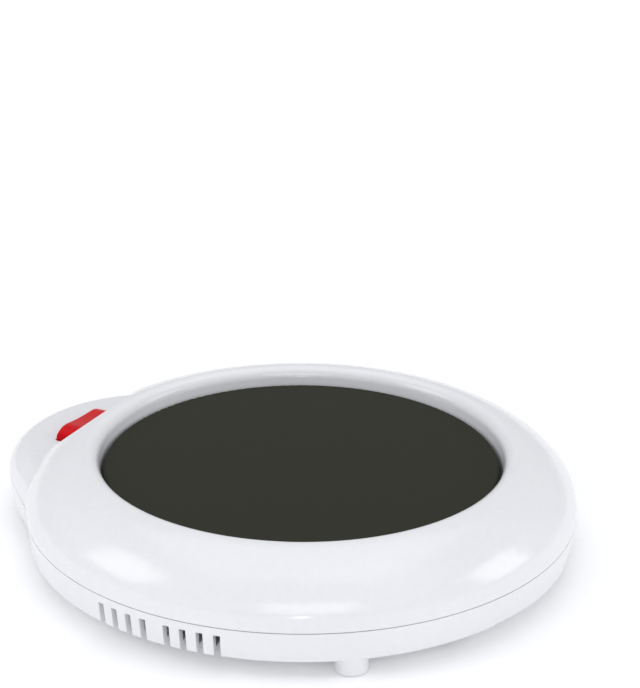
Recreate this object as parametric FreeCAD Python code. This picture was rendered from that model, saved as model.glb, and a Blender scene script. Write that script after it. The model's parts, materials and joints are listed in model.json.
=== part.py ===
import FreeCAD, Part
import math
import os

from FreeCAD import Vector

# Electric mug warmer: a round two-part plastic body with a bulge at the back that carries a red
# rocker switch, a sunk heating plate in the middle, and the heater, fuse, leads and switch inside.
# Millimetres. The pieces are drawn about the axis of the round body, and main() then moves them so
# that the origin is at the bottom centre of the whole outline, in the plane that the feet stand on.
# +Z is up, +Y points to the bulge at the back, the plain front is at -Y.

# Round body: the well that a vessel stands in, and the ring round it
well_radius = 45.1
ring_width = 16.5
body_wall = 2.2
crest_height = 24.0
well_draft = 0.4
lip_radius = 2.6
top_slope_deg = 10.2
shoulder_slope_deg = 53.4
shoulder_radius = 18.8
seam_height = 10.7
seam_groove = 0.2

# Base pan
foot_height = 3.7
floor_thickness = 1.6
base_taper = 0.9
base_edge_radius = 0.7
tongue_thickness = 1.0
tongue_height = 1.5
tongue_clearance = 0.15

# Bulge
bulge_stand_out = 10.4
bulge_nose_radius = 32.0
bulge_flank_deg = 46.0
bulge_root_from_well = 4.9
deck_height = 17.0
deck_wall = 2.0
deck_edge_straight = 0.8
ramp_slope_deg = 40.0
ramp_foot_from_well = 12.3

# Vents, in two groups on each side
vent_from_rear_deg = 87.8
vent_width = 1.5
vent_top = 8.9
vent_pitch_deg = 3.5
vent_group_gap_deg = 5.3
vents_per_group = 4
vent_floor_cut = 2.6

# Feet
foot_radius = 3.65
foot_from_edge = 4.4
front_foot_from_rear_deg = 127.3
pad_radius = 2.6
pad_thickness = 1.5
pad_proud = 0.3

# Case screws
case_screw_radius = 1.4
case_head_radius = 2.7
case_head_height = 1.6
case_boss_radius = 3.2
case_boss_top = 8.0
case_screw_reach = 13.5
cross_slot_half_length = 1.6
cross_slot_half_width = 0.3
cross_slot_depth = 0.8
case_boss_from_well = 8.9
case_boss_angles = (40.0, 140.0, 240.0, 300.0)
counterbore_clearance = 0.3
screw_hole_clearance = 0.2
thread_clearance = 0.02

# Heating plate
plate_top = 20.4
plate_side_gap = 0.4
plate_thickness = 1.6
plate_edge_radius = 0.9
skirt_thickness = 1.4
well_wall_bottom = 16.7
gasket_thickness = 0.7
gasket_side_gap = 0.3
flange_thickness = 1.4

# Retaining ring under the plate
ring_thickness = 1.0
ring_inner_overlap = 1.0
ring_outer_overlap = 1.2
ear_width = 8.0
ring_screw_radius = 1.2
ring_head_radius = 2.3
ring_head_height = 1.3
ring_screw_reach = 5.2
ring_boss_radius = 2.8
ring_boss_from_well = 6.5
ring_boss_angles = (18.0, 162.0, 270.0)

# Heater stack, from the plate downwards
stack_side_gap = 4.9
mica_thickness = 0.4
winding_thickness = 0.2
winding_margin = 9.0
winding_strip = 2.6
winding_pitch = 4.4
winding_tab_out = 2.2
winding_tab_bottom = 11.2
fibre_thickness = 2.0
backing_thickness = 1.0
stud_radius = 1.5
stud_from_edge = 4.0
stud_angles = (30.0, 150.0, 270.0)
stud_reach = 2.6
stud_hole_clearance = 0.25
washer_radius = 3.5
washer_thickness = 0.4
nut_across_flats = 5.5
nut_height = 2.0

# Thermal fuse under the backing plate
fuse_radius = 1.6
fuse_length = 9.0
fuse_lead_radius = 0.4
fuse_lead_length = 3.6
sleeve_wall = 0.4
sleeve_length = 12.0
sleeve_clearance = 0.03
clip_thickness = 0.5
clip_width = 4.0
clip_tab_length = 6.5
clip_screw_radius = 1.0
clip_head_radius = 2.0
clip_head_height = 1.0

# Switch
switch_from_well = 10.9
rocker_half_length = 9.3
rocker_width = 6.2
rocker_bump_height = 2.2
rocker_bump_offset = 5.6
rocker_dip_height = 2.0
rocker_end_height = 0.9
rocker_depth = 3.8
rocker_edge_radius = 0.6
rocker_skin = 0.4
pin_end_inset = 0.1
spring_room = 2.6
rocker_swing_deg = 4.0
pivot_below_deck = 2.8
window_end_clearance = 0.5
window_side_clearance = 0.35
window_corner_radius = 1.0
window_collar_wall = 1.2
housing_wall = 0.8
housing_half_length = 11.4
housing_floor_height = 6.0
housing_floor_thickness = 0.8
housing_side_gap = 0.3
housing_deck_gap = 0.05
housing_rib_half_thickness = 0.6
pin_radius = 0.7
pin_fit = 0.04
stem_radius = 1.9
stem_bottom_below_pivot = 4.0
plunger_radius = 1.1
plunger_fit = 0.06
plunger_tip_below_pivot = 4.7
plunger_length = 2.4
spring_mean_radius = 0.75
spring_wire_radius = 0.22
spring_turns = 4

# Seesaw contact under the plunger
seesaw_half_length = 7.2
seesaw_width = 3.4
seesaw_thickness = 0.4
seesaw_pivot_height = 9.0
seesaw_contact_radius = 0.9
seesaw_contact_height = 0.35
saddle_half_thickness = 0.5
saddle_half_width = 1.2
saddle_clearance = 0.08
contact_clearance = 0.12
terminal_width = 3.0
terminal_thickness = 0.6
terminal_tab_length = 5.4
terminal_offset = 6.6

# Lamp inside the switch
lamp_radius = 0.9
lamp_length = 5.0
lamp_offset = 5.2
lamp_above_housing_floor = 4.3
resistor_radius = 0.6
resistor_length = 3.4
resistor_leg_radius = 0.25

# Terminal block and leads
block_inside_well = 0.5
block_angle_deg = 47.7
block_length = 15.0
block_width = 8.0
block_height = 5.0
block_bore_radius = 1.3
block_bore_height = 2.2
block_bore_half_pitch = 4.0
block_screw_radius = 1.2
block_screw_head_drop = 0.3
block_fixing_radius = 1.1
block_fixing_reach = 0.6
block_fixing_head_radius = 1.87
block_fixing_head_height = 0.9
block_slot_half_length = 2.0
block_slot_half_width = 0.25
block_slot_depth = 0.4
block_corner_radius = 1.0
block_foot_boss_height = 0.8
block_foot_boss_radius = 3.0
lead_radius = 0.6
lead_bend_share = 0.45

# Cord inlet in the flank of the bulge
inlet_radius = 2.5
inlet_height = 8.0
inlet_collar_wall = 1.1
inlet_collar_length = 3.0
inlet_along_flank = 5.0

contact_gap = 0.05
cut_margin = 1.0
edge_tolerance = 0.01
ramp_headroom = 1.0
through = 100.0

# Sizes and places that follow from the driving sizes
body_radius = well_radius + ring_width
bulge_reach = body_radius + bulge_stand_out
bulge_inner_end = well_radius + bulge_root_from_well
deck_edge_radius = deck_height - seam_height - deck_edge_straight
foot_centre_radius = body_radius - foot_from_edge
case_boss_centre_radius = well_radius + case_boss_from_well
ring_boss_centre_radius = well_radius + ring_boss_from_well
switch_centre_y = well_radius + switch_from_well
ramp_foot_y = well_radius + ramp_foot_from_well
floor_top = foot_height + floor_thickness
plate_radius = well_radius - well_draft - plate_side_gap
plate_under = plate_top - plate_thickness
stack_radius = plate_radius - skirt_thickness - stack_side_gap
winding_radius = stack_radius - winding_margin
winding_tab_x = winding_radius + winding_tab_out
stud_centre_radius = stack_radius - stud_from_edge
block_centre_radius = well_radius - block_inside_well
flange_top = well_wall_bottom - gasket_thickness
flange_bottom = flange_top - flange_thickness
flange_radius = well_radius + body_wall
ring_bottom = flange_bottom - ring_thickness
mica_upper_bottom = plate_under - mica_thickness
winding_bottom = mica_upper_bottom - winding_thickness
core_bottom = winding_bottom - mica_thickness
mica_lower_bottom = core_bottom - mica_thickness
fibre_bottom = mica_lower_bottom - fibre_thickness
backing_bottom = fibre_bottom - backing_thickness
washer_bottom = backing_bottom - washer_thickness
nut_bottom = washer_bottom - nut_height
sleeve_radius = fuse_radius + sleeve_clearance + sleeve_wall
fuse_height = backing_bottom - sleeve_radius - contact_gap
pivot_height = deck_height - pivot_below_deck
housing_top = deck_height - deck_wall - housing_deck_gap
housing_inner_floor = housing_floor_height + housing_floor_thickness
housing_half_width = rocker_width / 2 + housing_side_gap + housing_wall
terminal_top = housing_inner_floor + terminal_thickness
outline_shift = -(bulge_reach - body_radius) / 2
bore_top = pivot_height - plunger_tip_below_pivot + plunger_length + spring_room


def box(x0, x1, y0, y1, z0, z1):
    return Part.makeBox(x1 - x0, y1 - y0, z1 - z0, Vector(x0, y0, z0))


def rod(radius, x, y, z0, z1):
    return Part.makeCylinder(radius, z1 - z0, Vector(x, y, z0))


def rod_along(radius, start, direction, length):
    return Part.makeCylinder(radius, length, start, direction)


def at_angle(radius, angle_deg):
    angle = math.radians(angle_deg)
    return radius * math.cos(angle), radius * math.sin(angle)


def block_centre():
    return at_angle(block_centre_radius, block_angle_deg)


def fuse_all(shapes):
    joined = shapes[0]
    if len(shapes) > 1:
        joined = joined.multiFuse(shapes[1:])
    return joined.removeSplitter()


def polar_rods(radius, centre_radius, angles, z0, z1):
    rods = []
    for angle in angles:
        x, y = at_angle(centre_radius, angle)
        rods.append(rod(radius, x, y, z0, z1))
    return rods


def line(a, b):
    return Part.LineSegment(a, b).toShape()


def arc(a, b, c):
    return Part.Arc(a, b, c).toShape()


def polygon_face(points):
    corners = [Vector(*p) for p in points]
    return Part.Face(Part.makePolygon(corners + [corners[0]]))


def turned(edges):
    face = Part.Face(Part.Wire(Part.__sortEdges__(edges)))
    return face.revolve(Vector(0, 0, 0), Vector(0, 0, 1), 360)


def shoulder_profile(wall):
    """Corner and middle points of the top's two arcs, moved inwards by a wall thickness."""
    slope_1 = math.radians(top_slope_deg)
    slope_2 = math.radians(shoulder_slope_deg)
    lip_x = well_radius + lip_radius
    lip_z = crest_height - lip_radius
    x_1 = lip_x + lip_radius * math.sin(slope_1)
    z_1 = lip_z + lip_radius * math.cos(slope_1)
    centre_1 = (x_1 - shoulder_radius * math.sin(slope_1), z_1 - shoulder_radius * math.cos(slope_1))
    end_x = centre_1[0] + shoulder_radius * math.sin(slope_2)
    end_z = centre_1[1] + shoulder_radius * math.cos(slope_2)
    side_radius = (body_radius - end_x) / (1 - math.sin(slope_2))
    centre_2 = (body_radius - side_radius, end_z - side_radius * math.cos(slope_2))

    def on_first(slope):
        r = shoulder_radius - wall
        return Vector(centre_1[0] + r * math.sin(slope), 0, centre_1[1] + r * math.cos(slope))

    def on_second(slope):
        r = side_radius - wall
        return Vector(centre_2[0] + r * math.sin(slope), 0, centre_2[1] + r * math.cos(slope))

    middle = (slope_1 + slope_2) / 2
    low = (slope_2 + math.pi / 2) / 2
    return {
        "start": on_first(slope_1),
        "middle": on_first(middle),
        "corner": on_first(slope_2),
        "low": on_second(low),
        "side": on_second(math.pi / 2),
        "centre_1": centre_1,
    }


def ring_solid():
    """The round body's outside from the seam up, with the well open in the middle."""
    p = shoulder_profile(0)
    slope = math.radians(top_slope_deg)
    lip_centre = Vector(well_radius + lip_radius, 0, crest_height - lip_radius)
    lip_start = Vector(well_radius, 0, lip_centre.z)
    turn = (slope - math.pi / 2) / 2
    lip_middle = lip_centre + Vector(lip_radius * math.sin(turn), 0, lip_radius * math.cos(turn))
    well_foot = Vector(well_radius - well_draft, 0, seam_height)
    well_draft_end = Vector(well_radius - well_draft, 0, well_wall_bottom)
    outer_foot = Vector(body_radius, 0, seam_height)
    edges = [
        line(well_foot, well_draft_end),
        line(well_draft_end, lip_start),
        arc(lip_start, lip_middle, p["start"]),
        arc(p["start"], p["middle"], p["corner"]),
        arc(p["corner"], p["low"], p["side"]),
        line(p["side"], outer_foot),
        line(outer_foot, well_foot),
    ]
    return turned(edges)


def ring_cavity():
    """The hollow between the well's wall and the outer wall, open at the bottom."""
    p = shoulder_profile(body_wall)
    inner_x = well_radius + body_wall
    r = shoulder_radius - body_wall
    rise = math.sqrt(r ** 2 - (inner_x - p["centre_1"][0]) ** 2)
    top = Vector(inner_x, 0, p["centre_1"][1] + rise)
    foot = Vector(inner_x, 0, seam_height - cut_margin)
    outer_foot = Vector(body_radius - body_wall, 0, seam_height - cut_margin)
    edges = [
        line(foot, top),
        arc(top, p["middle"], p["corner"]),
        arc(p["corner"], p["low"], p["side"]),
        line(p["side"], outer_foot),
        line(outer_foot, foot),
    ]
    return turned(edges)


def bulge_wire(inset, z):
    """The bulge seen from above: a round nose between two straight flanks."""
    flank = math.radians(bulge_flank_deg)
    centre_y = bulge_reach - bulge_nose_radius
    radius = bulge_nose_radius - inset
    tangent = Vector(radius * math.sin(flank), centre_y + radius * math.cos(flank), z)
    run = (tangent.y - bulge_inner_end) / math.sin(flank)
    end = tangent + Vector(run * math.cos(flank), -run * math.sin(flank), 0)
    nose = Vector(0, centre_y + radius, z)
    tangent_left = Vector(-tangent.x, tangent.y, z)
    end_left = Vector(-end.x, end.y, z)
    return Part.Wire([
        line(end_left, tangent_left),
        arc(tangent_left, nose, tangent),
        line(tangent, end),
        line(end, end_left),
    ])


def bulge_solid(inset, z0, z1):
    return Part.Face(bulge_wire(inset, z0)).extrude(Vector(0, 0, z1 - z0))


def above_ramp(drop):
    """Everything above the deck and above the ramp that leads down to it from the ring's crest."""
    top = crest_height + ramp_headroom
    foot = deck_height - drop
    run = (top - foot) / math.tan(math.radians(ramp_slope_deg))
    corners = [
        (-body_radius, ramp_foot_y - run, top),
        (-body_radius, ramp_foot_y, foot),
        (-body_radius, bulge_reach, foot),
        (-body_radius, bulge_reach, top),
    ]
    return polygon_face(corners).extrude(Vector(2 * body_radius, 0, 0))


def plan_solid(inset, z0, z1):
    """The body's whole outline, moved inwards, as a plain block."""
    disc = rod(body_radius - inset, 0, 0, z0, z1)
    return disc.fuse(bulge_solid(inset, z0, z1))


def bulge_outside():
    block = bulge_solid(0, seam_height, deck_height)
    rounded = []
    for edge in block.Edges:
        box_z = edge.BoundBox
        on_deck = box_z.ZMin > deck_height - edge_tolerance
        at_back_end = box_z.YMax < bulge_inner_end + edge_tolerance
        if on_deck and not at_back_end:
            rounded.append(edge)
    return block.makeFillet(deck_edge_radius, rounded)


def inlet_frame():
    """Middle of the cord inlet on the flank's outside, and the direction that it points out."""
    flank = math.radians(bulge_flank_deg)
    outward = Vector(math.sin(flank), math.cos(flank), 0)
    along = Vector(math.cos(flank), -math.sin(flank), 0)
    centre = Vector(0, bulge_reach - bulge_nose_radius, inlet_height)
    middle = centre + outward * bulge_nose_radius + along * inlet_along_flank
    return middle, outward


def window_block(wall):
    """The rocker's window from the switch housing up, or with a wall, the collar round it."""
    half_x = rocker_half_length + window_end_clearance + wall
    half_y = rocker_width / 2 + window_side_clearance + wall
    block = box(-half_x, half_x, switch_centre_y - half_y, switch_centre_y + half_y,
                housing_top, crest_height)
    corners = []
    for edge in block.Edges:
        if edge.BoundBox.ZLength > edge_tolerance:
            corners.append(edge)
    return block.makeFillet(window_corner_radius + wall, corners)


def top_cover():
    outside = ring_solid().cut(above_ramp(0)).fuse(bulge_outside())
    ramp_drop = body_wall / math.cos(math.radians(ramp_slope_deg))
    hollow = ring_cavity().cut(above_ramp(ramp_drop))
    bulge_hollow = bulge_solid(body_wall, seam_height - cut_margin, deck_height - deck_wall)
    shell = outside.cut(hollow.fuse(bulge_hollow))
    below_well = rod(well_radius + body_wall, 0, 0, seam_height - cut_margin, well_wall_bottom)
    shell = shell.cut(below_well)
    bosses = polar_rods(case_boss_radius, case_boss_centre_radius, case_boss_angles,
                        case_boss_top, crest_height)
    bosses += polar_rods(ring_boss_radius, ring_boss_centre_radius, ring_boss_angles,
                         flange_bottom, crest_height)
    solid_outside = outside.fuse(rod(body_radius - body_wall, 0, 0, 0, seam_height))
    solid_outside = solid_outside.cut(rod(well_radius, 0, 0, 0, crest_height))
    trimmed = [boss.common(solid_outside) for boss in bosses]
    collar = window_block(window_collar_wall).common(solid_outside)
    shell = shell.multiFuse(trimmed + [collar])
    holes = polar_rods(case_screw_radius + thread_clearance, case_boss_centre_radius,
                       case_boss_angles, 0, case_screw_reach + thread_clearance)
    holes += polar_rods(ring_screw_radius + thread_clearance, ring_boss_centre_radius,
                        ring_boss_angles, 0, flange_bottom + ring_screw_reach - ring_thickness)
    lap_inset = body_wall - tongue_thickness - tongue_clearance
    lap_top = seam_height + tongue_height + tongue_clearance
    lap = plan_solid(lap_inset, seam_height - cut_margin, lap_top)
    keep = fuse_all(trimmed)
    shell = shell.cut(lap.cut(keep))
    groove_low = seam_height - cut_margin
    groove_high = seam_height + seam_groove
    groove_slice = box(-through, through, -through, through, groove_low, groove_high)
    shell = shell.cut(groove_slice.cut(keep))
    shell = shell.cut(window_block(0))
    shell = shell.cut(holes)
    return shell.removeSplitter()


def foot_centres():
    angles = [90.0, 90.0 + front_foot_from_rear_deg, 90.0 - front_foot_from_rear_deg]
    return [at_angle(foot_centre_radius, angle) for angle in angles]


def vent_angles():
    """Angles of all the vent slots, in two groups on each side of the body."""
    half_gap = vent_group_gap_deg / 2
    steps = []
    for i in range(vents_per_group):
        steps.append(half_gap + i * vent_pitch_deg)
        steps.append(-half_gap - i * vent_pitch_deg)
    angles = []
    for side in (1, -1):
        middle = 90.0 + side * vent_from_rear_deg
        angles += [middle + step for step in steps]
    return angles


def base_outside():
    bottom_radius = body_radius - base_taper
    ring = Part.makeCone(bottom_radius, body_radius, seam_height - foot_height,
                         Vector(0, 0, foot_height))
    lower = bulge_wire(base_taper, foot_height)
    upper = bulge_wire(0, seam_height)
    bulge = Part.makeLoft([lower, upper], True, True)
    body = ring.fuse(bulge).removeSplitter()
    rim = []
    for edge in body.Edges:
        if edge.BoundBox.ZMax < foot_height + edge_tolerance:
            rim.append(edge)
    return body.makeFillet(base_edge_radius, rim)


def base_pan():
    hollow = plan_solid(body_wall, floor_top, seam_height + cut_margin)
    pan = base_outside().cut(hollow)
    tongue_inset = body_wall - tongue_thickness
    tongue = plan_solid(tongue_inset, floor_top, seam_height + tongue_height)
    tongue = tongue.cut(plan_solid(body_wall, floor_top, seam_height + tongue_height))
    adds = [tongue]
    adds += polar_rods(case_boss_radius, case_boss_centre_radius, case_boss_angles,
                       foot_height, case_boss_top)
    for x, y in foot_centres():
        adds.append(rod(foot_radius, x, y, pad_proud, floor_top))
    middle, outward = inlet_frame()
    collar_length = body_wall + inlet_collar_length
    collar = rod_along(inlet_radius + inlet_collar_wall, middle - outward * collar_length,
                       outward, collar_length - body_wall / 2)
    adds.append(collar.cut(box(-through, through, -through, through, -through, foot_height)))
    adds += block_bosses()
    adds += switch_ribs()
    pan = pan.multiFuse(adds)
    cuts = polar_rods(case_screw_radius + screw_hole_clearance, case_boss_centre_radius,
                      case_boss_angles, 0, case_boss_top)
    cuts += polar_rods(case_head_radius + counterbore_clearance, case_boss_centre_radius,
                       case_boss_angles, 0, foot_height + case_head_height + counterbore_clearance)
    for x, y in foot_centres():
        cuts.append(rod(pad_radius + thread_clearance, x, y, 0, pad_thickness))
    cuts.append(rod_along(inlet_radius, middle - outward * (collar_length + cut_margin),
                          outward, collar_length + 2 * cut_margin))
    slot = box(body_radius - body_wall - vent_floor_cut, body_radius + cut_margin,
               -vent_width / 2, vent_width / 2, foot_height - cut_margin, vent_top)
    for angle in vent_angles():
        turned_slot = slot.copy()
        turned_slot.rotate(Vector(0, 0, 0), Vector(0, 0, 1), angle)
        cuts.append(turned_slot)
    for x, y in block_fixings():
        cuts.append(rod(block_fixing_radius + thread_clearance, x, y, floor_top - cut_margin,
                        floor_top + block_foot_boss_height))
    return pan.cut(cuts).removeSplitter()


def foot_pads():
    pads = []
    for x, y in foot_centres():
        pads.append(rod(pad_radius, x, y, 0, pad_thickness))
    return Part.makeCompound(pads)


def case_screws():
    screws = []
    head_bottom = foot_height + counterbore_clearance
    head_top = head_bottom + case_head_height
    for angle in case_boss_angles:
        x, y = at_angle(case_boss_centre_radius, angle)
        head = rod(case_head_radius, x, y, head_bottom, head_top)
        shank = rod(case_screw_radius, x, y, head_bottom, case_screw_reach)
        slots = []
        for half_x, half_y in ((cross_slot_half_length, cross_slot_half_width),
                               (cross_slot_half_width, cross_slot_half_length)):
            slots.append(box(x - half_x, x + half_x, y - half_y, y + half_y,
                             head_bottom - cut_margin, head_bottom + cross_slot_depth))
        screws.append(head.fuse(shank).cut(slots))
    return Part.makeCompound(screws)


def heating_plate():
    disc = rod(plate_radius, 0, 0, flange_bottom, plate_top)
    rim = [e for e in disc.Edges if e.BoundBox.ZMin > plate_top - edge_tolerance]
    disc = disc.makeFillet(plate_edge_radius, rim)
    flange = rod(flange_radius, 0, 0, flange_bottom, flange_top)
    pocket = rod(plate_radius - skirt_thickness, 0, 0, flange_bottom, plate_under)
    dish = disc.fuse(flange).cut(pocket)
    studs = polar_rods(stud_radius, stud_centre_radius, stud_angles,
                       backing_bottom - stud_reach, plate_under)
    return dish.multiFuse(studs).removeSplitter()


def plate_gasket():
    ring = rod(flange_radius, 0, 0, flange_top, well_wall_bottom)
    return ring.cut(rod(plate_radius + gasket_side_gap, 0, 0, 0, crest_height))


def retaining_ring():
    outer = flange_radius + ring_outer_overlap
    inner = plate_radius - skirt_thickness - ring_inner_overlap
    shapes = [rod(outer, 0, 0, ring_bottom, flange_bottom)]
    for angle in ring_boss_angles:
        ear = box(outer - ear_width / 2, ring_boss_centre_radius, -ear_width / 2, ear_width / 2,
                  ring_bottom, flange_bottom)
        end = rod(ear_width / 2, ring_boss_centre_radius, 0, ring_bottom, flange_bottom)
        ear = ear.fuse(end)
        ear.rotate(Vector(0, 0, 0), Vector(0, 0, 1), angle)
        shapes.append(ear)
    ring = fuse_all(shapes)
    holes = polar_rods(ring_screw_radius + screw_hole_clearance, ring_boss_centre_radius,
                       ring_boss_angles, 0, crest_height)
    return ring.cut(holes + [rod(inner, 0, 0, 0, crest_height)])


def ring_screws():
    screws = []
    for angle in ring_boss_angles:
        x, y = at_angle(ring_boss_centre_radius, angle)
        head = rod(ring_head_radius, x, y, ring_bottom - ring_head_height, ring_bottom)
        shank = rod(ring_screw_radius, x, y, ring_bottom, ring_bottom + ring_screw_reach)
        screws.append(head.fuse(shank))
    return Part.makeCompound(screws)


def stack_disc(z0, z1):
    disc = rod(stack_radius, 0, 0, z0, z1)
    return disc.cut(polar_rods(stud_radius + stud_hole_clearance, stud_centre_radius,
                               stud_angles, 0, crest_height))


def heater_winding():
    """A flat ribbon that runs to and fro across the core, joined at alternate ends."""
    rows = int(winding_radius * 2 / winding_pitch)
    start = -(rows - 1) / 2 * winding_pitch
    strips = []
    for i in range(rows):
        y = start + i * winding_pitch
        reach = math.sqrt(winding_radius ** 2 - y ** 2)
        strips.append(box(-reach, reach, y - winding_strip / 2, y + winding_strip / 2,
                          winding_bottom, mica_upper_bottom))
        if i + 1 < rows:
            next_y = y + winding_pitch
            bend = min(reach, math.sqrt(winding_radius ** 2 - next_y ** 2))
            side = 1 if i % 2 == 0 else -1
            x0, x1 = sorted((side * bend, side * (bend - winding_strip)))
            strips.append(box(x0, x1, y, next_y, winding_bottom, mica_upper_bottom))
    for side in (-1, 1):
        x0, x1 = sorted((0, side * winding_tab_x))
        y = -side * start
        y0 = y - winding_strip / 2
        y1 = y + winding_strip / 2
        strips.append(box(x0, x1, y0, y1, winding_bottom, mica_upper_bottom))
        x0, x1 = sorted((side * (winding_tab_x - winding_thickness), side * winding_tab_x))
        strips.append(box(x0, x1, y0, y1, winding_tab_bottom, mica_upper_bottom))
    return fuse_all(strips)


def backing_plate():
    plate = stack_disc(backing_bottom, fibre_bottom)
    y = sleeve_radius + clip_tab_length / 2 + clip_thickness
    return plate.cut(rod(clip_screw_radius + thread_clearance, 0, y, 0, crest_height))


def washers():
    rings = []
    for angle in stud_angles:
        x, y = at_angle(stud_centre_radius, angle)
        ring = rod(washer_radius, x, y, washer_bottom, backing_bottom)
        rings.append(ring.cut(rod(stud_radius + stud_hole_clearance, x, y, 0, crest_height)))
    return Part.makeCompound(rings)


def nuts():
    shapes = []
    corner = nut_across_flats / math.sqrt(3)
    for angle in stud_angles:
        x, y = at_angle(stud_centre_radius, angle)
        points = []
        for i in range(6):
            turn = math.radians(60 * i)
            points.append((x + corner * math.cos(turn), y + corner * math.sin(turn), nut_bottom))
        nut = polygon_face(points).extrude(Vector(0, 0, nut_height))
        shapes.append(nut.cut(rod(stud_radius + thread_clearance, x, y, 0, crest_height)))
    return Part.makeCompound(shapes)


def thermal_fuse():
    body = rod_along(fuse_radius, Vector(-fuse_length / 2, 0, fuse_height), Vector(1, 0, 0), fuse_length)
    total = fuse_length + 2 * fuse_lead_length
    leads = rod_along(fuse_lead_radius, Vector(-total / 2, 0, fuse_height), Vector(1, 0, 0), total)
    return body.fuse(leads).removeSplitter()


def fuse_sleeve():
    start = Vector(-sleeve_length / 2, 0, fuse_height)
    tube = rod_along(sleeve_radius, start, Vector(1, 0, 0), sleeve_length)
    bore = rod_along(fuse_radius + sleeve_clearance, start - Vector(cut_margin, 0, 0), Vector(1, 0, 0),
                     sleeve_length + 2 * cut_margin)
    return tube.cut(bore)


def fuse_clip():
    """A steel strip bent under the sleeve, with a tab screwed to the backing plate."""
    inner = sleeve_radius + contact_gap
    outer = inner + clip_thickness
    half = clip_width / 2
    hoop = rod_along(outer, Vector(-half, 0, fuse_height), Vector(1, 0, 0), clip_width)
    hoop = hoop.fuse(box(-half, half, -outer, outer, fuse_height, backing_bottom))
    hoop = hoop.cut(rod_along(inner, Vector(-half - cut_margin, 0, fuse_height),
                              Vector(1, 0, 0), clip_width + 2 * cut_margin))
    hoop = hoop.cut(box(-half - cut_margin, half + cut_margin, -inner, inner, fuse_height, backing_bottom))
    hoop = hoop.common(box(-half, half, -outer, outer, 0, backing_bottom))
    tab = box(-half, half, inner, inner + clip_tab_length + clip_thickness,
              backing_bottom - clip_thickness, backing_bottom)
    y = sleeve_radius + clip_tab_length / 2 + clip_thickness
    hole = rod(clip_screw_radius + thread_clearance, 0, y, 0, crest_height)
    return hoop.fuse(tab).cut(hole).removeSplitter()


def clip_screw():
    y = sleeve_radius + clip_tab_length / 2 + clip_thickness
    under = backing_bottom - clip_thickness
    head = rod(clip_head_radius, 0, y, under - clip_head_height, under)
    shank = rod(clip_screw_radius, 0, y, under, fibre_bottom)
    return head.fuse(shank)


def tilted(shape, angle_deg, centre_height):
    """Turns a switch part about the rocker's or the seesaw's front-to-back axis."""
    copy = shape.copy()
    copy.rotate(Vector(0, switch_centre_y, centre_height), Vector(0, 1, 0), angle_deg)
    return copy


def rocker_outline():
    """Side view of the level rocker: two humps with a dip between them, in tangent arcs."""
    half = rocker_half_length
    y = switch_centre_y - rocker_width / 2
    bottom = deck_height - rocker_depth
    end = deck_height + rocker_end_height
    bump = deck_height + rocker_bump_height
    dip = deck_height + rocker_dip_height
    hump_run = half - rocker_bump_offset
    hump_rise = bump - end
    hump_radius = (hump_run ** 2 + hump_rise ** 2) / (2 * hump_rise)
    dip_rise = bump - dip
    both_radii = (rocker_bump_offset ** 2 + dip_rise ** 2) / (2 * dip_rise)
    dip_radius = both_radii - hump_radius
    hump_centre_z = bump - hump_radius
    dip_centre_z = dip + dip_radius
    share = hump_radius / both_radii
    join_x = rocker_bump_offset * (1 - share)
    join_z = hump_centre_z + (dip_centre_z - hump_centre_z) * share
    half_turn = math.asin(hump_run / hump_radius) / 2
    mid_x = rocker_bump_offset + hump_radius * math.sin(half_turn)
    mid_z = hump_centre_z + hump_radius * math.cos(half_turn)

    def p(x, z):
        return Vector(x, y, z)

    return Part.Wire([
        line(p(-half, bottom), p(-half, end)),
        arc(p(-half, end), p(-mid_x, mid_z), p(-rocker_bump_offset, bump)),
        arc(p(-rocker_bump_offset, bump),
            near_top(-1, join_x, hump_radius, hump_centre_z),
            p(-join_x, join_z)),
        arc(p(-join_x, join_z), p(0, dip), p(join_x, join_z)),
        arc(p(join_x, join_z),
            near_top(1, join_x, hump_radius, hump_centre_z),
            p(rocker_bump_offset, bump)),
        arc(p(rocker_bump_offset, bump), p(mid_x, mid_z), p(half, end)),
        line(p(half, end), p(half, bottom)),
        line(p(half, bottom), p(-half, bottom)),
    ])


def near_top(side, join_x, hump_radius, hump_centre_z):
    """Point of a hump halfway between its top and where it joins the dip."""
    turn = math.asin((rocker_bump_offset - join_x) / hump_radius) / 2
    x = rocker_bump_offset - hump_radius * math.sin(turn)
    z = hump_centre_z + hump_radius * math.cos(turn)
    return Vector(side * x, switch_centre_y - rocker_width / 2, z)


def rocker_button():
    """Hollow rocker with its pins and stem, tipped with its +X end pressed."""
    half = rocker_half_length
    y = switch_centre_y - rocker_width / 2
    bottom = deck_height - rocker_depth
    block = Part.Face(rocker_outline()).extrude(Vector(0, rocker_width, 0))
    top_edges = []
    for edge in block.Edges:
        b = edge.BoundBox
        if b.ZMin > bottom + contact_gap and b.YLength < edge_tolerance and b.XLength > contact_gap:
            top_edges.append(edge)
    block = block.makeFillet(rocker_edge_radius, top_edges)
    pocket_top = deck_height - rocker_skin
    wall = housing_wall
    pocket = box(-half + wall, half - wall, y + wall, y + rocker_width - wall,
                 bottom - cut_margin, pocket_top)
    block = block.cut(pocket)
    stem = rod(stem_radius, 0, switch_centre_y, pivot_height - stem_bottom_below_pivot,
               pocket_top + rocker_skin / 2)
    pin_length = 2 * (housing_half_width - pin_end_inset)
    pins = rod_along(pin_radius, Vector(0, switch_centre_y - pin_length / 2, pivot_height),
                     Vector(0, 1, 0), pin_length)
    block = block.multiFuse([stem, pins])
    bore = rod(plunger_radius + plunger_fit, 0, switch_centre_y, 0, bore_top)
    block = block.cut(bore)
    return tilted(block.removeSplitter(), rocker_swing_deg, pivot_height)


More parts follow.
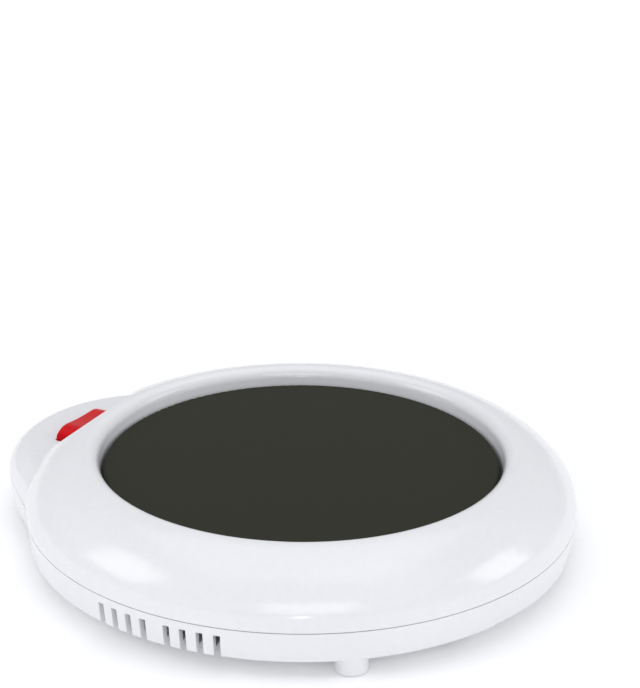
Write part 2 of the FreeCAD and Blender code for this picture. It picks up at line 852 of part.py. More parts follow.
def plunger():
    tip = pivot_height - plunger_tip_below_pivot
    body = rod(plunger_radius, 0, switch_centre_y, tip + plunger_radius, tip + plunger_length)
    ball = Part.makeSphere(plunger_radius, Vector(0, switch_centre_y, tip + plunger_radius))
    return tilted(body.fuse(ball).removeSplitter(), rocker_swing_deg, pivot_height)


def plunger_spring():
    start = pivot_height - plunger_tip_below_pivot + plunger_length + spring_wire_radius + contact_gap
    height = spring_room - 2 * spring_wire_radius - 2 * contact_gap
    pitch = height / spring_turns
    helix = Part.makeHelix(pitch, height, spring_mean_radius)
    helix.translate(Vector(0, switch_centre_y, start))
    along = Vector(0, 2 * math.pi * spring_mean_radius, pitch)
    first = Vector(spring_mean_radius, switch_centre_y, start)
    ring = Part.Wire(Part.makeCircle(spring_wire_radius, first, along))
    coil = Part.Wire(helix).makePipeShell([ring], True, True)
    return tilted(coil, rocker_swing_deg, pivot_height)


def switch_housing():
    x1 = housing_half_length
    y0 = switch_centre_y - housing_half_width
    y1 = switch_centre_y + housing_half_width
    shell = box(-x1, x1, y0, y1, housing_floor_height, housing_top)
    inside = box(-x1 + housing_wall, x1 - housing_wall, y0 + housing_wall, y1 - housing_wall,
                 housing_inner_floor, housing_top)
    shell = shell.cut(inside)
    pin_holes = rod_along(pin_radius + pin_fit, Vector(0, y0 - cut_margin, pivot_height),
                          Vector(0, 1, 0), 2 * (housing_half_width + cut_margin))
    shell = shell.cut(pin_holes)
    for x in (-terminal_offset, 0, terminal_offset):
        slot = box(x - terminal_width / 2 - contact_gap, x + terminal_width / 2 + contact_gap,
                   y0 - cut_margin, y0 + housing_wall, housing_inner_floor, terminal_top + contact_gap)
        shell = shell.cut(slot)
    return shell


def terminal(x, rise):
    """A brass strip along the housing floor, with a tab that comes out to the inside."""
    y0 = switch_centre_y - housing_half_width - terminal_tab_length
    y1 = switch_centre_y + seesaw_width / 2
    strip = box(x - terminal_width / 2, x + terminal_width / 2, y0, y1,
                housing_inner_floor, terminal_top)
    contact = rod(seesaw_contact_radius, x, switch_centre_y, terminal_top, rise)
    return strip.fuse(contact)


def fixed_contact_top():
    """Height of a fixed contact, just under the seesaw's contact when that end is down."""
    swing = math.radians(rocker_swing_deg)
    lever = terminal_offset * math.sin(swing)
    drop = (seesaw_contact_height + seesaw_thickness / 2) * math.cos(swing)
    edge = seesaw_contact_radius * math.sin(swing)
    return seesaw_pivot_height - lever - drop - edge - contact_clearance


def terminal_common():
    y0 = switch_centre_y - housing_half_width - terminal_tab_length
    y1 = switch_centre_y + seesaw_width / 2
    strip = box(-terminal_width / 2, terminal_width / 2, y0, y1, housing_inner_floor, terminal_top)
    top = seesaw_pivot_height - seesaw_thickness / 2 - saddle_clearance
    post = box(-saddle_half_thickness, saddle_half_thickness, switch_centre_y - saddle_half_width,
               switch_centre_y + saddle_half_width, terminal_top, top)
    return strip.fuse(post).removeSplitter()


def terminal_load():
    return terminal(terminal_offset, fixed_contact_top()).removeSplitter()


def terminal_lamp():
    return terminal(-terminal_offset, fixed_contact_top()).removeSplitter()


def seesaw_contact():
    half = seesaw_thickness / 2
    strip = box(-seesaw_half_length, seesaw_half_length, switch_centre_y - seesaw_width / 2,
                switch_centre_y + seesaw_width / 2, seesaw_pivot_height - half,
                seesaw_pivot_height + half)
    shapes = [strip]
    for x in (-terminal_offset, terminal_offset):
        shapes.append(rod(seesaw_contact_radius, x, switch_centre_y,
                          seesaw_pivot_height - half - seesaw_contact_height, seesaw_pivot_height))
    return tilted(fuse_all(shapes), -rocker_swing_deg, seesaw_pivot_height)


def neon_lamp():
    z = housing_inner_floor + lamp_above_housing_floor
    y = switch_centre_y - lamp_length / 2
    body = rod_along(lamp_radius, Vector(lamp_offset, y, z), Vector(0, 1, 0), lamp_length - lamp_radius)
    tip = Part.makeSphere(lamp_radius, Vector(lamp_offset, y + lamp_length - lamp_radius, z))
    return body.fuse(tip).removeSplitter()


def lamp_resistor():
    """Resistor on a wire leg that stands on the lamp's terminal, beside the seesaw."""
    z = housing_inner_floor + lamp_above_housing_floor
    half = resistor_length / 2
    leg_out = seesaw_width / 2 + 2 * resistor_leg_radius
    start = Vector(-lamp_offset, switch_centre_y - half, z)
    body = rod_along(resistor_radius, start, Vector(0, 1, 0), resistor_length)
    wire_start = Vector(-lamp_offset, switch_centre_y - leg_out - resistor_leg_radius, z)
    wire = rod_along(resistor_leg_radius, wire_start, Vector(0, 1, 0), leg_out + resistor_leg_radius)
    leg = rod(resistor_leg_radius, -lamp_offset, switch_centre_y - leg_out, terminal_top, z)
    return body.multiFuse([wire, leg]).removeSplitter()


def switch_ribs():
    """Two ribs of the base that carry the switch housing from below."""
    y0 = switch_centre_y - housing_half_width
    y1 = switch_centre_y + housing_half_width
    ribs = []
    for x in (-rocker_half_length, rocker_half_length):
        ribs.append(box(x - housing_rib_half_thickness, x + housing_rib_half_thickness, y0, y1,
                        floor_top, housing_floor_height))
    return ribs


def block_fixings():
    x, y = block_centre()
    return [(x, y)]


def block_bosses():
    return [rod(block_foot_boss_radius, x, y, floor_top, floor_top + block_foot_boss_height)
            for x, y in block_fixings()]


def terminal_block():
    x, y = block_centre()
    z0 = floor_top + block_foot_boss_height
    z1 = z0 + block_height
    block = box(x - block_length / 2, x + block_length / 2, y - block_width / 2,
                y + block_width / 2, z0, z1)
    upright = [e for e in block.Edges if e.BoundBox.ZLength > edge_tolerance]
    block = block.makeFillet(block_corner_radius, upright)
    cuts = [rod(block_fixing_radius + screw_hole_clearance, x, y, z0 - cut_margin, z1 + cut_margin)]
    for dx in (-block_bore_half_pitch, block_bore_half_pitch):
        cuts.append(rod_along(block_bore_radius, Vector(x + dx, y - block_width, z0 + block_bore_height),
                              Vector(0, 1, 0), 2 * block_width))
        cuts.append(rod(block_screw_radius + thread_clearance, x + dx, y,
                        z0 + block_bore_height, z1 + cut_margin))
    return block.cut(cuts)


def block_screws():
    x, y = block_centre()
    z0 = floor_top + block_foot_boss_height
    z1 = z0 + block_height
    screws = []
    for dx in (-block_bore_half_pitch, block_bore_half_pitch):
        bottom = z0 + block_bore_height + block_bore_radius
        screw = rod(block_screw_radius, x + dx, y, bottom, z1 - block_screw_head_drop)
        slot = box(x + dx - block_slot_half_length, x + dx + block_slot_half_length,
                   y - block_slot_half_width, y + block_slot_half_width,
                   z1 - block_screw_head_drop - block_slot_depth, z1)
        screws.append(screw.cut(slot))
    fixing = rod(block_fixing_radius, x, y, floor_top - block_fixing_reach, z1)
    fixing = fixing.fuse(rod(block_fixing_head_radius, x, y, z1, z1 + block_fixing_head_height))
    screws.append(fixing)
    return Part.makeCompound(screws)


def lead(points):
    """A lead along straight runs joined by tangent arcs as large as the runs allow."""
    corners = [Vector(*p) for p in points]
    edges = []
    radii = []
    here = corners[0]
    for i in range(1, len(corners) - 1):
        before = corners[i] - corners[i - 1]
        after = corners[i + 1] - corners[i]
        u = Vector(before).normalize()
        v = Vector(after).normalize()
        half_turn = u.getAngle(v) / 2
        cut_back = lead_bend_share * min(before.Length, after.Length)
        radius = cut_back / math.tan(half_turn)
        radii.append(radius)
        start = corners[i] - u * cut_back
        end = corners[i] + v * cut_back
        inward = (v - u).normalize()
        middle = corners[i] + inward * (radius / math.cos(half_turn) - radius)
        edges.append(line(here, start))
        edges.append(arc(start, middle, end))
        here = end
    edges.append(line(here, corners[-1]))
    path = Part.Wire(edges)
    first = corners[1] - corners[0]
    ring = Part.Wire(Part.makeCircle(lead_radius, corners[0], first))
    tube = path.makePipeShell([ring], True, False)
    ratio = tube.Volume / (math.pi * lead_radius ** 2 * path.Length)
    print("lead: least radius %.1f mm, volume ratio %.4f" % (min(radii), ratio))
    return tube


def fuse_end(side):
    return Vector(side * (fuse_length / 2 + fuse_lead_length + contact_gap), 0, fuse_height)


def terminal_end():
    """Front end of a terminal's tab, which a lead meets face to face."""
    y = switch_centre_y - housing_half_width - terminal_tab_length - contact_gap
    return y, (housing_inner_floor + terminal_top) / 2


def block_bore_z():
    return floor_top + block_foot_boss_height + block_bore_height


def winding_tab(side):
    """Middle of the lower end of a winding tab, on its inner face."""
    rows = int(winding_radius * 2 / winding_pitch)
    y = side * (rows - 1) / 2 * winding_pitch
    x = side * (winding_tab_x - winding_thickness - contact_gap)
    return Vector(x, y, winding_tab_bottom + lead_radius)


def load_lead():
    """From the switch's load terminal to the thermal fuse."""
    y, z = terminal_end()
    end = fuse_end(1)
    return lead([
        (terminal_offset, y, z),
        (terminal_offset, y - 8.5, z),
        (13.0, 31.0, z + 0.8),
        (19.0, 20.0, z + 1.8),
        (20.0, 7.5, z + 3.5),
        (end.x + 7.0, 0, end.z),
        (end.x, 0, end.z),
    ])


def supply_lead():
    """From the terminal block to the switch's common terminal."""
    y, z = terminal_end()
    x = block_centre()[0] - block_bore_half_pitch
    block_y = block_centre()[1] + block_width / 2 + contact_gap
    block_z = block_bore_z()
    return lead([
        (x, block_y, block_z),
        (x, block_y + 7.5, block_z),
        (16.0, 43.0, block_z + 1.2),
        (9.0, 31.5, z + 2.6),
        (0.5, 29.5, z + 1.6),
        (0, y - 7.5, z),
        (0, y, z),
    ])


def fuse_lead():
    """From the thermal fuse to the winding's first tab."""
    start = fuse_end(-1)
    end = winding_tab(-1)
    return lead([
        (start.x, start.y, start.z),
        (start.x - 7.0, start.y, start.z),
        (-22.0, -8.0, 10.0),
        (-22.0, -19.0, 9.6),
        (end.x + 7.0, end.y, end.z),
        (end.x, end.y, end.z),
    ])


def return_lead():
    """From the winding's second tab to the terminal block."""
    start = winding_tab(1)
    x = block_centre()[0] + block_bore_half_pitch
    y = block_centre()[1] - block_width / 2 - contact_gap
    block_z = block_bore_z()
    return lead([
        (start.x, start.y, start.z),
        (start.x - 7.5, start.y, start.z),
        (21.0, 18.0, 10.6),
        (27.5, 11.5, 9.6),
        (x, 18.5, block_z),
        (x, y, block_z),
    ])


def sub_parts():
    return {
        "top_cover": top_cover(),
        "base_pan": base_pan(),
        "foot_pads": foot_pads(),
        "case_screws": case_screws(),
        "heating_plate": heating_plate(),
        "plate_gasket": plate_gasket(),
        "retaining_ring": retaining_ring(),
        "ring_screws": ring_screws(),
        "mica_upper": stack_disc(mica_upper_bottom, plate_under),
        "heater_winding": heater_winding(),
        "heater_core": stack_disc(core_bottom, winding_bottom),
        "mica_lower": stack_disc(mica_lower_bottom, core_bottom),
        "fibre_pad": stack_disc(fibre_bottom, mica_lower_bottom),
        "backing_plate": backing_plate(),
        "stud_washers": washers(),
        "stud_nuts": nuts(),
        "thermal_fuse": thermal_fuse(),
        "fuse_sleeve": fuse_sleeve(),
        "fuse_clip": fuse_clip(),
        "clip_screw": clip_screw(),
        "switch_housing": switch_housing(),
        "rocker_button": rocker_button(),
        "plunger": plunger(),
        "plunger_spring": plunger_spring(),
        "seesaw_contact": seesaw_contact(),
        "terminal_common": terminal_common(),
        "terminal_load": terminal_load(),
        "terminal_lamp": terminal_lamp(),
        "neon_lamp": neon_lamp(),
        "lamp_resistor": lamp_resistor(),
        "terminal_block": terminal_block(),
        "block_screws": block_screws(),
        "load_lead": load_lead(),
        "supply_lead": supply_lead(),
        "fuse_lead": fuse_lead(),
        "return_lead": return_lead(),
    }


def main():
    os.makedirs("parts", exist_ok=True)
    for name, shape in sub_parts().items():
        shape.translate(Vector(0, outline_shift, 0))
        b = shape.BoundBox
        print("%-18s solids %d valid %s volume %9.2f  x %.1f..%.1f y %.1f..%.1f z %.2f..%.2f" % (
            name, len(shape.Solids), shape.isValid(), shape.Volume,
            b.XMin, b.XMax, b.YMin, b.YMax, b.ZMin, b.ZMax))
        shape.exportStep("parts/" + name + ".step")


main()
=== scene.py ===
# %% [markdown]
# # An electric mug warmer
# The object is a round white plastic body with a dark plate sunk in its middle and a bulge at the
# back that carries a red rocker. The shapes that carry loads and joints come from the packed
# frame. This file gives them their finishes, and remakes the pieces that show, with smoother
# surfaces than a frame of flat triangles has.

# %% Load the frame
import json
import math

import bmesh
import bpy
from mathutils import Matrix, Vector

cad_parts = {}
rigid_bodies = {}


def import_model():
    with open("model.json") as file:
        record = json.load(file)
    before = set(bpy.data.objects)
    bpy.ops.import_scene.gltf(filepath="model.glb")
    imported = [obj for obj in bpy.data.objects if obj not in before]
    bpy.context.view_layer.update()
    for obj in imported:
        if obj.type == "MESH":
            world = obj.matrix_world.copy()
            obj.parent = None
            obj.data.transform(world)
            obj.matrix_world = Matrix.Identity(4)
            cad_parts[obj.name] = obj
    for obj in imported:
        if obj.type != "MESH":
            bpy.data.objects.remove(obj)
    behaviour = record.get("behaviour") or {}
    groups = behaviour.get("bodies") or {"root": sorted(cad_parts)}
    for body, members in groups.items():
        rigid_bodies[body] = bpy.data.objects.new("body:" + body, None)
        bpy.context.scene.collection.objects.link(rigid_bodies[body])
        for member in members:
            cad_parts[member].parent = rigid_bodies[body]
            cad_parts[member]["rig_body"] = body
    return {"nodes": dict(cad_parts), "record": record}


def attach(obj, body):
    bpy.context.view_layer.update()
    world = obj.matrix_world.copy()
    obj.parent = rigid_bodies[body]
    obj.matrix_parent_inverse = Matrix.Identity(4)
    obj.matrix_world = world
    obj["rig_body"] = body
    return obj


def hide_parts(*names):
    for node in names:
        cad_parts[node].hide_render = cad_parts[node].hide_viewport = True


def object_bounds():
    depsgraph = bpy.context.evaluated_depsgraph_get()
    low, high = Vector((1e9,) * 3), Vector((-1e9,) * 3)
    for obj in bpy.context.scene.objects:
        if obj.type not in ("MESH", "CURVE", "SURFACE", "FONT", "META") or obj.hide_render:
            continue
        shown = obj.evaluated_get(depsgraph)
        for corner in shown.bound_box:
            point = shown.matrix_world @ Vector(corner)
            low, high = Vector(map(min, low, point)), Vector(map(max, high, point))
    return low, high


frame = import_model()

MM = 0.001
nodes = frame["nodes"]
cad_low, cad_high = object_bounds()
cad_size = (cad_high - cad_low) / MM
print("frame: %d nodes, %.1f x %.1f x %.1f mm" % (len(nodes), cad_size.x, cad_size.y, cad_size.z))

# %% [markdown]
# ## The camera
# A product photograph of a small thing is taken with a long lens from a little above it. The
# camera's place was worked out from round outlines in the photograph, such as the well's edge and
# the bottom edge. A lens is given by its focal length on a 36 mm sensor, so the focal length in
# pixels is turned to that here.

# %% Camera
PHOTO_LONG_SIDE = 688
FOCAL_PX = 2208.49
CAMERA_DISTANCE = 448.79 * MM
CAMERA_HEIGHT = 227.55 * MM
CAMERA_YAW = math.radians(0.494)
CAMERA_PITCH = math.radians(21.747)
CAMERA_ROLL = math.radians(-0.462)
BODY_TURN = math.radians(-63.0)
RING_Y = -5.2 * MM

forward = Vector((math.sin(CAMERA_YAW) * math.cos(CAMERA_PITCH),
                  math.cos(CAMERA_YAW) * math.cos(CAMERA_PITCH),
                  -math.sin(CAMERA_PITCH)))
level_right = Vector((math.cos(CAMERA_YAW), -math.sin(CAMERA_YAW), 0))
level_down = forward.cross(level_right)
right = level_right * math.cos(CAMERA_ROLL) + level_down * math.sin(CAMERA_ROLL)
down = -level_right * math.sin(CAMERA_ROLL) + level_down * math.cos(CAMERA_ROLL)
looking = Matrix((right, -down, -forward)).transposed().to_4x4()
looking.translation = Vector((0, -CAMERA_DISTANCE, CAMERA_HEIGHT))

camera_data = bpy.data.cameras.new("camera")
camera = bpy.data.objects.new("camera", camera_data)
bpy.context.scene.collection.objects.link(camera)
camera.matrix_world = (Matrix.Translation((0, RING_Y, 0)) @ Matrix.Rotation(BODY_TURN, 4, "Z")
                       @ looking)
camera_data.lens = FOCAL_PX * 36.0 / PHOTO_LONG_SIDE
camera_data.clip_start = 0.05
camera_data.clip_end = 20.0
bpy.context.scene.camera = camera
print("camera: %.1f mm lens at %s" % (camera_data.lens, [round(v, 3) for v in camera.location]))

# %% [markdown]
# ## Colours and nodes
# A colour is easiest to read as the sRGB hex that a colour picker shows, but shaders work with
# linear light, so one function turns the first into the second. A second small function adds a
# shader node, sets its values and joins it up in one call. A shader could also be built by hand with
# a line for each link; this way keeps one node on one line.

# %% Colour and node helpers
def linear(hex_colour):
    """An sRGB colour such as "#dfe1e6" as the linear numbers that the shaders use."""
    channels = []
    for i in (1, 3, 5):
        c = int(hex_colour[i:i + 2], 16) / 255
        channels.append(c / 12.92 if c <= 0.04045 else ((c + 0.055) / 1.055) ** 2.4)
    return (*channels, 1.0)


def add_node(tree, kind, links=(), **settings):
    """Adds a node. Settings set properties or, by name, sockets; links are (socket, output)."""
    node = tree.nodes.new(kind)
    for name, value in settings.items():
        if name.startswith("in_"):
            key = name[3:].replace("_", " ")
            socket = node.inputs[int(key)] if key.isdigit() else node.inputs[key]
            socket.default_value = value
        else:
            setattr(node, name, value)
    for socket, output in links:
        tree.links.new(output, node.inputs[socket])
    return node


# %% [markdown]
# ## The floor
# The pale sheet under the product glows. This is painted light, not a lamp. The glow is weak under
# the body, which paints a contact shadow there. It is stronger further off, which paints light there,
# so that the sheet runs into the white background without a horizon. One large flat sheet is enough.
# A curved sheet that rises behind the object would do the same, but it would hide the views from
# there.

# %% Floor
# Painted glow of the floor: weak near the body as a painted contact shadow, strong further off as
# painted light.
FLOOR_SIDE = 4.0
PAINTED_SHADOW_RADIUS = 0.22
PAINTED_LIGHT_RADIUS = 0.60
PAINTED_SHADOW_GLOW = 0.10
PAINTED_LIGHT_GLOW = 0.60

floor_mesh = bpy.data.meshes.new("floor")
bm = bmesh.new()
bmesh.ops.create_grid(bm, x_segments=1, y_segments=1, size=FLOOR_SIDE / 2)
bm.to_mesh(floor_mesh)
bm.free()
floor = bpy.data.objects.new("floor", floor_mesh)
bpy.context.scene.collection.objects.link(floor)

floor_painted_glow = bpy.data.materials.new("floor_painted_glow")
floor_painted_glow.use_nodes = True
tree = floor_painted_glow.node_tree
shader = tree.nodes["Principled BSDF"]
shader.inputs["Roughness"].default_value = 0.9
shader.inputs["Specular IOR Level"].default_value = 0.1
shader.inputs["Base Color"].default_value = linear("#fdfdfe")
shader.inputs["Emission Color"].default_value = linear("#ffffff")
place = add_node(tree, "ShaderNodeTexCoord")
far = add_node(tree, "ShaderNodeVectorMath", operation="LENGTH",
               links=((0, place.outputs["Object"]),))
# The emission grows with distance from the middle: painted shadow near the body, painted light
# further off.
painted_glow = add_node(tree, "ShaderNodeMapRange", in_From_Min=PAINTED_SHADOW_RADIUS, in_From_Max=PAINTED_LIGHT_RADIUS,
               in_To_Min=PAINTED_SHADOW_GLOW, in_To_Max=PAINTED_LIGHT_GLOW, links=(("Value", far.outputs["Value"]),))
tree.links.new(painted_glow.outputs[0], shader.inputs["Emission Strength"])
floor_mesh.materials.append(floor_painted_glow)
print("floor: %.1f m sheet" % FLOOR_SIDE)

# %% [markdown]
# ## The room's soft light
# All around the table the light is a soft grey dome, which fills the shadows. The background is
# white only for what the camera sees directly and for what is seen through clear pieces, since a
# photograph of this kind is printed on white. A picture of a studio wrapped round the scene would
# give richer reflections, but the file would then need that picture.

# %% Dome
DOME_STRENGTH = 0.62

world = bpy.data.worlds.new("studio")
bpy.context.scene.world = world
world.use_nodes = True
tree = world.node_tree
tree.nodes.clear()
path = add_node(tree, "ShaderNodeLightPath")
seen = add_node(tree, "ShaderNodeMath", operation="MAXIMUM",
                links=((0, path.outputs["Is Camera Ray"]), (1, path.outputs["Is Transmission Ray"])))
white = add_node(tree, "ShaderNodeBackground", in_Color=(1, 1, 1, 1), in_Strength=1.0)
dome = add_node(tree, "ShaderNodeBackground", in_Color=linear("#f4f5f8"), in_Strength=DOME_STRENGTH)
mix = add_node(tree, "ShaderNodeMixShader",
               links=((0, seen.outputs[0]), (1, dome.outputs[0]), (2, white.outputs[0])))
add_node(tree, "ShaderNodeOutputWorld", links=((0, mix.outputs[0]),))

# %% [markdown]
# ## The lamps
# Glossy plastic shows its shape by the reflections of the lamps. The photograph has a broad patch of
# light on the ring at the left, a narrower one at the right, and a small spark in the middle. Each
# comes from a lamp on the line that the ring mirrors toward the camera. Each place is given as the
# photographer would say it: away from the camera, to its right, and up, in metres from the body.

# %% Lamps
BODY_MIDDLE = Vector((0, 0, 10 * MM))


def lamp(name, away, aside, up, width, height, watts):
    """A rectangular soft box that faces the body."""
    flat = Matrix.Rotation(BODY_TURN, 3, "Z") @ Vector((aside, away, 0))
    data = bpy.data.lights.new(name, "AREA")
    data.shape = "RECTANGLE"
    data.size = width
    data.size_y = height
    data.energy = watts
    soft_box = bpy.data.objects.new(name, data)
    bpy.context.scene.collection.objects.link(soft_box)
    soft_box.location = (flat.x, flat.y, up)
    aim = BODY_MIDDLE - soft_box.location
    soft_box.rotation_euler = aim.to_track_quat("-Z", "Y").to_euler()
    print("lamp %s: %.2f W" % (name, watts))


lamp("overhead", away=0.10, aside=0.0, up=0.85, width=0.9, height=0.9, watts=1.9)
lamp("left", away=-0.10, aside=-0.80, up=0.55, width=0.45, height=0.45, watts=1.65)
lamp("right", away=-0.04, aside=0.93, up=0.37, width=0.40, height=0.45, watts=1.6)
lamp("front", away=-0.90, aside=0.05, up=0.55, width=0.60, height=0.40, watts=1.8)
lamp("front_spark", away=-1.0, aside=0.0, up=0.15, width=0.04, height=0.04, watts=0.35)
bpy.context.scene.view_settings.view_transform = "Standard"

# %% [markdown]
# ## Finishes
# Every finish starts from what the real surface is and how it was made. A moulded or sprayed
# surface isn't one flat colour: its tone and gloss vary a little, and it has a fine relief. The
# function below gives a Principled shader those three things from two noises, a fine grain whose
# size is given in millimetres and a drift that is many grains wide. Each material then adds what is
# its own. Scanned pictures of surfaces would be richer, but noise has a real size at any distance.

# %% A finish from noise at a real size
DRIFT_GRAINS = 18
DRIFT_SHARE = 0.55
NOISE_LOW = 0.35
NOISE_HIGH = 0.65


def finish(name, dark, light, grain_mm, rough, bump_mm, stretch=(1, 1, 1), **sockets):
    """Tone between two colours, roughness between two values and relief, from two noises."""
    material = bpy.data.materials.new(name)
    material.use_nodes = True
    tree = material.node_tree
    shader = tree.nodes["Principled BSDF"]
    for key, value in sockets.items():
        shader.inputs[key.replace("_", " ")].default_value = value
    place = add_node(tree, "ShaderNodeTexCoord")
    turned = add_node(tree, "ShaderNodeMapping", in_Scale=stretch,
                      links=(("Vector", place.outputs["Object"]),))
    grain = add_node(tree, "ShaderNodeTexNoise", in_Scale=1 / (grain_mm * MM), in_Detail=3.0,
                     links=(("Vector", turned.outputs[0]),))
    drift = add_node(tree, "ShaderNodeTexNoise", in_Scale=1 / (grain_mm * DRIFT_GRAINS * MM),
                     in_Detail=2.0, links=(("Vector", turned.outputs[0]),))
    tone = add_node(tree, "ShaderNodeMix", data_type="FLOAT", in_0=DRIFT_SHARE,
                    links=((2, grain.outputs["Fac"]), (3, drift.outputs["Fac"])))
    spread = add_node(tree, "ShaderNodeMapRange", in_From_Min=NOISE_LOW, in_From_Max=NOISE_HIGH,
                      links=(("Value", tone.outputs[0]),))
    colour = add_node(tree, "ShaderNodeMix", data_type="RGBA", in_6=linear(dark), in_7=linear(light),
                      links=((0, spread.outputs[0]),))
    gloss = add_node(tree, "ShaderNodeMapRange", in_To_Min=rough[0], in_To_Max=rough[1],
                     links=(("Value", spread.outputs[0]),))
    relief = add_node(tree, "ShaderNodeBump", in_Strength=1.0, in_Distance=bump_mm * MM,
                      links=(("Height", grain.outputs["Fac"]),))
    tree.links.new(colour.outputs[2], shader.inputs["Base Color"])
    tree.links.new(gloss.outputs[0], shader.inputs["Roughness"])
    tree.links.new(relief.outputs[0], shader.inputs["Normal"])
    return material


materials = {}

# %% [markdown]
# ### What the eye meets first
# The case is injection-moulded ABS from a polished mould, the plate is aluminium under a sprayed
# non-stick coating, and the rocker is moulded from red see-through polycarbonate so that a lamp can
# glow through it. The three differ most in gloss: mirror-like, matt, and glassy. The plate could have
# been given a plain black, but the photograph shows an olive tint in it.

# %% Case, plate and rocker
# Cool white with soft clear reflections; it gives the object its clean, moulded look.
materials["white_abs"] = finish("moulded_glossy_abs", "#e4e5e8", "#e8e9ec", grain_mm=1.6,
                                rough=(0.16, 0.22), bump_mm=0.004, IOR=1.53)
# Nearly black with an olive tint and almost no shine; it makes the well read as deep.
materials["dark_coating"] = finish("sprayed_nonstick_coating", "#222317", "#26271a", grain_mm=0.30,
                                   rough=(0.54, 0.60), bump_mm=0.012, IOR=1.45,
                                   Specular_IOR_Level=0.2)
# Deep red with light in its body; the one strong colour, and it shows where the switch is.
materials["red_lens"] = finish("red_polycarbonate", "#c00d16", "#d0131c", grain_mm=2.0,
                               rough=(0.10, 0.16), bump_mm=0.003, IOR=1.585,
                               Specular_IOR_Level=0.06, Subsurface_Weight=0.25,
                               Subsurface_Radius=(2.0 * MM, 0.3 * MM, 0.2 * MM),
                               Subsurface_Scale=1.0)

# %% [markdown]
# ### Rubbers and dark plastics
# The foot pads and the plate's gasket are silicone rubber, which stays soft near the heat: matt,
# with a faint skin. The housing of the switch is black nylon, a little glossier.

# %% Rubbers and nylon
# Off-white and matt; it sets the foot pads off from the glossy case.
materials["white_silicone"] = finish("moulded_silicone_rubber", "#d9dadb", "#e4e5e5", grain_mm=0.5,
                                     rough=(0.50, 0.62), bump_mm=0.02, IOR=1.41)
# Mid grey and matt; a quiet line under the plate's rim.
materials["grey_silicone"] = finish("grey_silicone_gasket", "#6f7376", "#83878a", grain_mm=0.6,
                                    rough=(0.50, 0.65), bump_mm=0.02, IOR=1.41)
# Black with a satin shine; it makes the switch housing read as one technical part.
materials["black_nylon"] = finish("moulded_black_nylon", "#161617", "#1f2021", grain_mm=0.5,
                                  rough=(0.36, 0.50), bump_mm=0.015, IOR=1.53)

# %% [markdown]
# ### Metals
# Screws, nuts and washers are zinc-plated. The retaining ring, the backing plate and the fuse's clip
# are galvanised sheet. The terminals, the plunger and the seesaw are brass, the winding is nichrome
# that has darkened, and the spring is bare steel wire. A metal takes its look from its colour and its
# roughness, so nothing else is set.

# %% Metals
# Bright blue-white; small points of light at the screws.
materials["zinc_steel"] = finish("zinc_plated_steel", "#b9bcc1", "#d3d6da", grain_mm=0.35,
                                 rough=(0.24, 0.38), bump_mm=0.006, Metallic=1.0)
# Grey with the coarse spangle of a dipped coat; it reads as sheet.
materials["galvanised_steel"] = finish("galvanised_sheet_steel", "#9fa3a6", "#c0c4c7", grain_mm=2.2,
                                       rough=(0.30, 0.52), bump_mm=0.008, Metallic=1.0)
# Brownish grey and dull; it shows that the winding has been hot.
materials["nichrome"] = finish("nichrome_ribbon", "#6f6a64", "#8f8981", grain_mm=0.3,
                               rough=(0.32, 0.45), bump_mm=0.004, Metallic=1.0)
# Warm silver; the fuse stands out from the steel round it.
materials["fuse_shell"] = finish("tinned_copper_shell", "#b7b2a8", "#d2cec5", grain_mm=0.3,
                                 rough=(0.25, 0.40), bump_mm=0.004, Metallic=1.0)
# Yellow and fairly bright; it marks what carries current.
materials["brass"] = finish("stamped_brass", "#b08d45", "#c9a961", grain_mm=0.35,
                            rough=(0.24, 0.40), bump_mm=0.004, Metallic=1.0)
# Dark steel with a sharp shine along the wire.
materials["spring_steel"] = finish("spring_steel_wire", "#8f9296", "#acafb3", grain_mm=0.15,
                                   rough=(0.25, 0.35), bump_mm=0.002, Metallic=1.0)

# %% [markdown]
# ### Insulation, glass and leads
# The heater is wound on mica and lies between two more sheets of it, over a pad of ceramic fibre. A
# woven glass sleeve covers the fuse. The lamp is glass with a glowing gas inside, the resistor is
# lacquered, and the block is steatite, a fired ceramic. The leads have silicone insulation in three
# colours, so that they can be told apart on the bench.

# %% Insulation, glass and leads
# Honey-coloured with a flaky sheen; it reads as mineral.
materials["mica"] = finish("pressed_mica_sheet", "#b49d70", "#d2c096", grain_mm=1.2,
                           rough=(0.28, 0.50), bump_mm=0.02, IOR=1.58)
# Cream and wholly matt, with a deep relief; it looks soft.
materials["ceramic_fibre"] = finish("needled_ceramic_fibre", "#dcdad2", "#f1efe8", grain_mm=0.4,
                                    rough=(0.9, 1.0), bump_mm=0.12, stretch=(1, 1, 4), IOR=1.45)
# Cream with a fine weave; it looks like cloth beside the smooth leads.
materials["glass_sleeve"] = finish("woven_glass_sleeve", "#d8d4c6", "#ece9df", grain_mm=0.25,
                                   rough=(0.55, 0.75), bump_mm=0.05, IOR=1.5)
# Clear with an orange tint; the one glassy thing inside.
materials["lamp_glass"] = finish("neon_lamp_glass", "#f2b48a", "#f7c9a6", grain_mm=0.6,
                                 rough=(0.03, 0.07), bump_mm=0.002, IOR=1.5,
                                 Transmission_Weight=0.75)
# Tan with a satin lacquer.
materials["resistor_body"] = finish("lacquered_resistor", "#b08f5f", "#c4a576", grain_mm=0.3,
                                    rough=(0.30, 0.42), bump_mm=0.01, IOR=1.55)
# Off-white, dense and dull; it reads as fired clay.
materials["steatite"] = finish("steatite_ceramic", "#d9d2c3", "#e8e3d7", grain_mm=0.3,
                               rough=(0.45, 0.60), bump_mm=0.015, IOR=1.57)
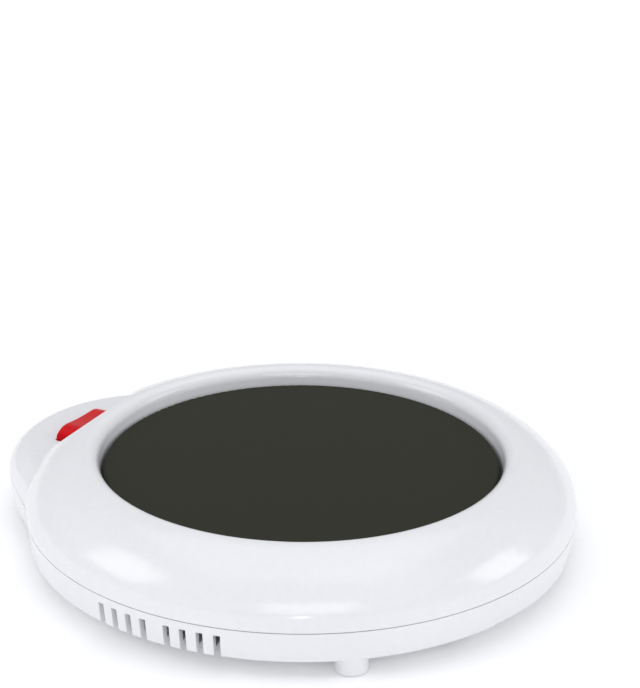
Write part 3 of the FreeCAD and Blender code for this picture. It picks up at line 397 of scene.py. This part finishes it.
# Red, black and white with the same soft sheen; the eye can follow each lead.
materials["red_lead"] = finish("red_silicone_insulation", "#9f1f1b", "#b22a24", grain_mm=0.4,
                               rough=(0.45, 0.55), bump_mm=0.01, IOR=1.43)
materials["black_lead"] = finish("black_silicone_insulation", "#171718", "#232324", grain_mm=0.4,
                                 rough=(0.45, 0.55), bump_mm=0.01, IOR=1.43)
materials["white_lead"] = finish("white_silicone_insulation", "#d6d6d3", "#e4e4e1", grain_mm=0.4,
                                 rough=(0.45, 0.55), bump_mm=0.01, IOR=1.43)

# %% [markdown]
# ## Each piece gets its finish
# The record that comes with the frame says which finish each piece has, by the name of a slot. Every
# piece of the frame is given its finish here, also those inside the case.

# %% Finishes on the pieces
slot_of = {}
for entry in frame["record"]["subparts"]:
    slot_of[entry["node"]] = entry["material_slot"]
for name, node in nodes.items():
    node.data.materials.clear()
    node.data.materials.append(materials[slot_of[name]])
print("materials: %d on %d nodes" % (len(materials), len(nodes)))

# %% [markdown]
# ## Smooth shells from the frame
# The cover, the pan, the plate and the rocker have rounded faces that a mould or a press made in one
# sweep, but the frame's pieces are loose flat triangles. A copy has its doubles merged, and is shaded
# smooth except at real edges, so that highlights run evenly over it. The surfaces could be drawn
# anew, but a copy keeps exactly the shape that the solids have.

# %% Smooth copies
EDGE_ANGLE = math.radians(30.0)
MERGE_DISTANCE = 0.001 * MM


def smooth_copy(node_name):
    """A merged copy of a frame piece, smooth except where two faces meet at more than the angle."""
    mesh = nodes[node_name].data.copy()
    bm = bmesh.new()
    bm.from_mesh(mesh)
    bmesh.ops.remove_doubles(bm, verts=bm.verts, dist=MERGE_DISTANCE)
    for edge in bm.edges:
        edge.smooth = edge.is_manifold and edge.calc_face_angle() < EDGE_ANGLE
    for face in bm.faces:
        face.smooth = True
    bm.to_mesh(mesh)
    bm.free()
    mesh.materials.clear()
    mesh.materials.append(materials[slot_of[node_name]])
    piece = bpy.data.objects.new(node_name + "_smooth", mesh)
    bpy.context.scene.collection.objects.link(piece)
    if "custom_normal" in mesh.attributes:
        mesh.attributes.remove(mesh.attributes["custom_normal"])
    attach(piece, nodes[node_name]["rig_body"])
    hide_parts(node_name)
    return piece


for name in ("top_cover", "base_pan", "heating_plate", "rocker_button"):
    piece = smooth_copy(name)
    weighted = piece.modifiers.new("weighted", "WEIGHTED_NORMAL")
    weighted.keep_sharp = True
    print(piece.name, len(piece.data.polygons), "faces")
